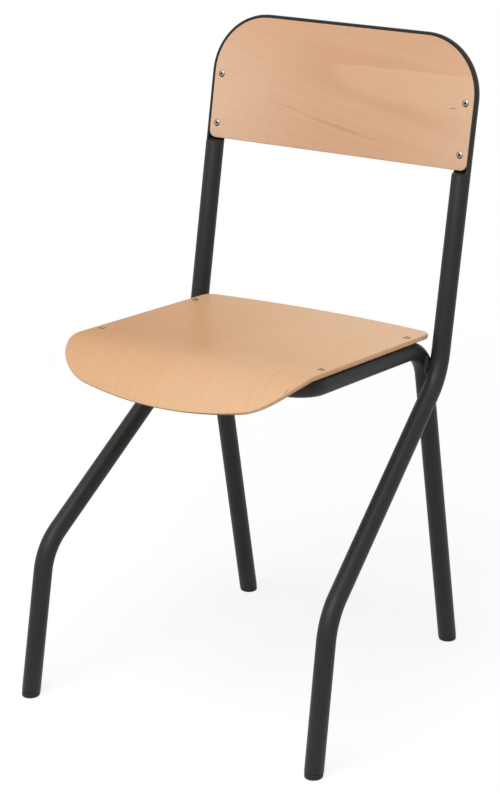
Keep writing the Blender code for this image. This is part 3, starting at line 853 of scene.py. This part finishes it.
def rivet_body(grip):
    """A set blind rivet: domed head with a rolled hollow, shank, and the blind end upset behind the wall."""
    hole = MANDREL + FIT_GAP
    behind = -grip - FIT_GAP
    tail = behind - RIVET_BULB_LENGTH
    crown = RIVET_HEAD_HEIGHT
    profile = [
        (hole, tail),
        (hole, crown - 0.00035),
        (hole + 0.00012, crown - 0.0001),
        (hole + 0.0004, crown),
        (hole + 0.0010, crown - 0.00004),
        (RIVET_HEAD * 0.72, crown * 0.86),
        (RIVET_HEAD * 0.88, crown * 0.64),
        (RIVET_HEAD * 0.97, crown * 0.44),
        (RIVET_HEAD, FIT_GAP + crown * 0.10),
        (RIVET_HEAD * 0.985, FIT_GAP),
        (RIVET_SHANK, FIT_GAP),
        (RIVET_SHANK, behind),
        (RIVET_BULB * 0.93, behind - RIVET_BULB_LENGTH * 0.12),
        (RIVET_BULB, behind - RIVET_BULB_LENGTH * 0.35),
        (RIVET_BULB * 0.92, behind - RIVET_BULB_LENGTH * 0.65),
        (RIVET_SHANK, tail),
        (hole, tail),
    ]
    return turned("rivet", profile)


def mandrel_stub(grip):
    """What the rivet keeps of its mandrel: a necked, torn end in the head and the knob under the bulb."""
    tail = -grip - FIT_GAP - RIVET_BULB_LENGTH - FIT_GAP
    top = RIVET_HEAD_HEIGHT - MANDREL_RECESS
    profile = [
        (0, top - 0.00018),
        (MANDREL * 0.42, top - 0.00008),
        (MANDREL * 0.70, top),
        (MANDREL * 0.86, top - 0.0003),
        (MANDREL, top - 0.0009),
        (MANDREL, tail),
        (RIVET_SHANK, tail),
        (RIVET_SHANK * 0.8, tail - MANDREL_KNOB),
        (0, tail - MANDREL_KNOB),
    ]
    return turned("mandrel", profile)


def foot_plug(name, foot, knee):
    """A plug in a leg's end: shank in the bore, collar under the rim, its sole cut level and rounded."""
    end, along = leg_end(foot, knee)
    bore = BORE_RADIUS - FIT_GAP
    past_floor = FOOT_HEIGHT * 4
    profile = [
        (0, FOOT_SHANK),
        (bore * 0.86, FOOT_SHANK),
        (bore * 0.95, FOOT_SHANK * 0.95),
        (bore, FOOT_SHANK * 0.8),
        (bore, -FIT_GAP),
        (FOOT_COLLAR - FOOT_COLLAR_ROUND, -FIT_GAP),
        (FOOT_COLLAR, -FIT_GAP - FOOT_COLLAR_ROUND),
        (FOOT_COLLAR, -past_floor),
        (0, -past_floor),
    ]
    plug = turned(name, profile)
    place(plug, along.to_track_quat("Z", "Y"), end)
    open_edit()
    bpy.ops.mesh.bisect(plane_co=(0, 0, 0), plane_no=(0, 0, -1), use_fill=True, clear_outer=True)
    pick(plug, lambda spot: abs(spot.z) < NEAR, "faces")
    bpy.ops.mesh.region_to_loop()
    bpy.ops.mesh.bevel(offset=FOOT_EDGE_ROUND, segments=5)
    close_edit()
    smooth(plug)
    return plug


# The chair


def build_frame(paint):
    """Both tubes, and the weld beads in front of and behind each place where they cross."""
    settle(back_frame_tube(), "back_frame_tube", paint)
    settle(seat_frame_tube(), "seat_frame_tube", paint)
    for _, side_name in SIDES:
        middles = {}
        for spot in ("front", "rear"):
            low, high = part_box(f"weld_bead_{side_name}_{spot}")
            middles[spot] = (low + high) / 2
        crossing = (middles["front"] + middles["rear"]) / 2
        along = (middles["front"] - middles["rear"]).cross(Vector((1, 0, 0))).normalized()
        for spot, middle in middles.items():
            out = (middle - crossing).normalized() * SEAM_OUT
            seam = weld_bead(f"weld_seam_{side_name}_{spot}", middle + out, along)
            settle(seam, f"weld_bead_{side_name}_{spot}", paint)


def build_panels():
    """The seat, with a faint figure along its length, and the backrest, with a bold one across it."""
    seat_wood = beech(
        "varnished beech seat",
        tip=(0.045, -0.160),
        grain=math.radians(87),
        spread=60,
        boldness=0.18,
        finger=(math.radians(87), 0.30, 5.5, 5.5),
        growth_line=(-0.55, 0.05),
        bark_fleck=((0.1634, 0.345), math.radians(97)),
        colours=(
            (0.580, 0.360, 0.212),
            (0.500, 0.270, 0.139),
            (0.465, 0.241, 0.117),
            (0.655, 0.437, 0.270),
        ),
        lit_share=seat_painted_sheen,
    )
    back_wood = beech(
        "varnished beech back",
        tip=(-0.0140, 0.1155),
        grain=math.radians(-9.5),
        spread=185,
        boldness=0.68,
        finger=(math.radians(0.3), 0.045, 38, 2.0),
        growth_line=(-1.02, 0.34),
        bark_fleck=((0.1695, 0.0785), math.radians(3.5)),
        colours=(
            (0.540, 0.340, 0.212),
            (0.545, 0.338, 0.217),
            (0.485, 0.278, 0.162),
            (0.600, 0.405, 0.275),
        ),
        lit_share=back_painted_light,
    )
    settle(seat_panel(), "seat_panel", seat_wood)
    settle(backrest_panel(), "backrest_panel", back_wood)


def build_rivets():
    """Four set rivets in each panel, each with its mandrel stub, copied from one model of each."""
    # Each rivet steel carries painted shade at its rim and mouth; the back's keeps a painted highlight at
    # the upper right.
    seat_steel = zinc(
        "worn zinc-plated steel",
        crown=(0.44, 0.72),
        bright=((0.66, 0.55, 0.42), (0.80, 0.69, 0.54)),
        shade_colour=(0.060, 0.042, 0.028),
        lit_side=0.0,
    )
    back_steel = zinc(
        "zinc-plated steel with painted rim shade",
        crown=(0.47, 0.54),
        bright=((0.58, 0.57, 0.55), (0.74, 0.73, 0.70)),
        shade_colour=(0.018, 0.015, 0.012),
        lit_side=0.42,
    )
    dark_steel = broken_steel()
    wall = TUBE_RADIUS - BORE_RADIUS
    bore_sag = BORE_RADIUS - math.sqrt(BORE_RADIUS**2 - RIVET_BULB**2)
    seat_grip = SEAT_PLY + FIT_GAP + wall + bore_sag
    seat_first = REAR_BEND + ALONG_RAIL * SEAT_RIVET_SETBACK + OUT_OF_SEAT * SEAT_RISE
    seat_step = ALONG_RAIL * SEAT_RIVET_SPACING
    back_grip = BACK_PLY + FIT_GAP + wall
    back_rise = PANEL_BOTTOM_RISE + BACK_RIVET_FROM_BOTTOM
    back_first = BACK_BEND + UP_BACK * back_rise + OUT_OF_BACK * BACK_PANEL_FRONT
    back_first.x -= BACK_RIVET_INSET
    back_step = UP_BACK * BACK_RIVET_SPACING
    rows = (
        ("seat", ("rear", "front"), seat_first, seat_step, OUT_OF_SEAT, seat_grip, seat_steel),
        ("back", ("lower", "upper"), back_first, back_step, OUT_OF_BACK, back_grip, back_steel),
    )
    for panel, places, first, step, out, grip, steel in rows:
        for kind, model, slot, material in (
            ("rivet", rivet_body(grip), "rivet_steel", steel),
            ("mandrel", mandrel_stub(grip), "mandrel_steel", dark_steel),
        ):
            for index, spot in enumerate(places):
                for side, side_name in SIDES:
                    node = f"{panel}_{spot}_{side_name}_{kind}"
                    piece = copy_of(model, f"{panel}_{spot}_{side_name}_set_{kind}")
                    place(piece, out.to_track_quat("Z", "X"), sided(first + step * index, side))
                    smooth(piece)
                    settle(piece, node, material)
            bpy.data.objects.remove(model)


def build_feet(plastic):
    for place_name, foot, knee in (("front", FRONT_FOOT, FRONT_BEND), ("rear", REAR_FOOT, REAR_BEND)):
        for side, side_name in SIDES:
            plug = foot_plug(f"plug_{place_name}_{side_name}", sided(foot, side), sided(knee, side))
            settle(plug, f"foot_{place_name}_{side_name}", plastic)


# Stage


def floor():
    """A wide pale disc that keeps the chair's shadow and goes over to white further out."""
    just_below = -0.0002
    deselect()
    bpy.ops.mesh.primitive_circle_add(vertices=96, radius=14, fill_type="NGON", location=(0, 0, just_below))
    ground = begin("floor")
    bpy.ops.mesh.inset(thickness=8)
    bpy.ops.object.mode_set(mode="OBJECT")
    finish = Finish(bpy.data.materials.new("pale floor"))
    point = finish.point()
    cloud = finish.noise(point, 1.3)
    finish.surface(
        {
            "Base Color": finish.mix(cloud, (0.93, 0.93, 0.93), (0.95, 0.95, 0.95)),
            "Roughness": 0.9,
            "Specular IOR Level": 0.1,
        }
    )
    white = finish.add("ShaderNodeEmission", None, {"Color": WHITE, "Strength": 1.0})
    away = finish.add("ShaderNodeVectorMath", {"operation": "LENGTH"}, {0: point}, output="Value")
    finish.show(finish.seen() * (0.84 + 0.16 * finish.between(away, 0.7, 2.2)), white)
    ground.data.materials.append(finish.owner)


def softbox(name, spot, aim, size, power):
    light = bpy.data.lights.new(name, "AREA")
    light.shape = "RECTANGLE"
    light.size, light.size_y = size
    light.energy = power
    lamp = bpy.data.objects.new(name, light)
    lamp.location = spot
    lamp.rotation_euler = (Vector(aim) - Vector(spot)).to_track_quat("-Z", "Y").to_euler()
    bpy.context.scene.collection.objects.link(lamp)


def studio():
    """An even room with one large softbox overhead in front. The camera and mirrors see it as white."""
    world = bpy.data.worlds.new("studio")
    bpy.context.scene.world = world
    room = Finish(world, "Background")
    room.surface({"Color": WHITE, "Strength": 0.50})
    white = room.add("ShaderNodeBackground", None, {"Color": WHITE, "Strength": 1.0})
    room.show(room.seen(), white)
    softbox("overhead softbox", spot=(0.3, -3.3, 5.8), aim=(0, 0, 0.5), size=(4.2, 4.2), power=375)


def camera():
    """Stands where the photograph was taken from: its lens, distance and angles were fitted to the tubes."""
    around, above, roll = math.radians(32.47), math.radians(18.71), math.radians(0.17)
    aim, distance = Vector((-0.0118, -0.0083, 0.3945)), 3.227
    focal_pixels, picture_height = 2457.4, 794
    flat = math.cos(above)
    look = Vector((-math.sin(around) * flat, math.cos(around) * flat, -math.sin(above)))
    level = Vector((math.cos(around), math.sin(around), 0))
    right = level * math.cos(roll) + look.cross(level) * math.sin(roll)
    up = right.cross(look)
    eye = bpy.data.cameras.new("camera")
    eye.sensor_fit = "VERTICAL"
    eye.sensor_height = 36
    eye.lens = focal_pixels * eye.sensor_height / picture_height
    stand = bpy.data.objects.new("camera", eye)
    turn = Matrix((right, up, -look)).transposed().to_4x4()
    stand.matrix_world = Matrix.Translation(aim - look * distance) @ turn
    bpy.context.scene.collection.objects.link(stand)
    bpy.context.scene.camera = stand


def main():
    build_frame(powder_coat())
    build_panels()
    build_rivets()
    build_feet(plug_plastic())
    floor()
    studio()
    camera()
    bpy.context.scene.view_settings.view_transform = "Standard"


main()
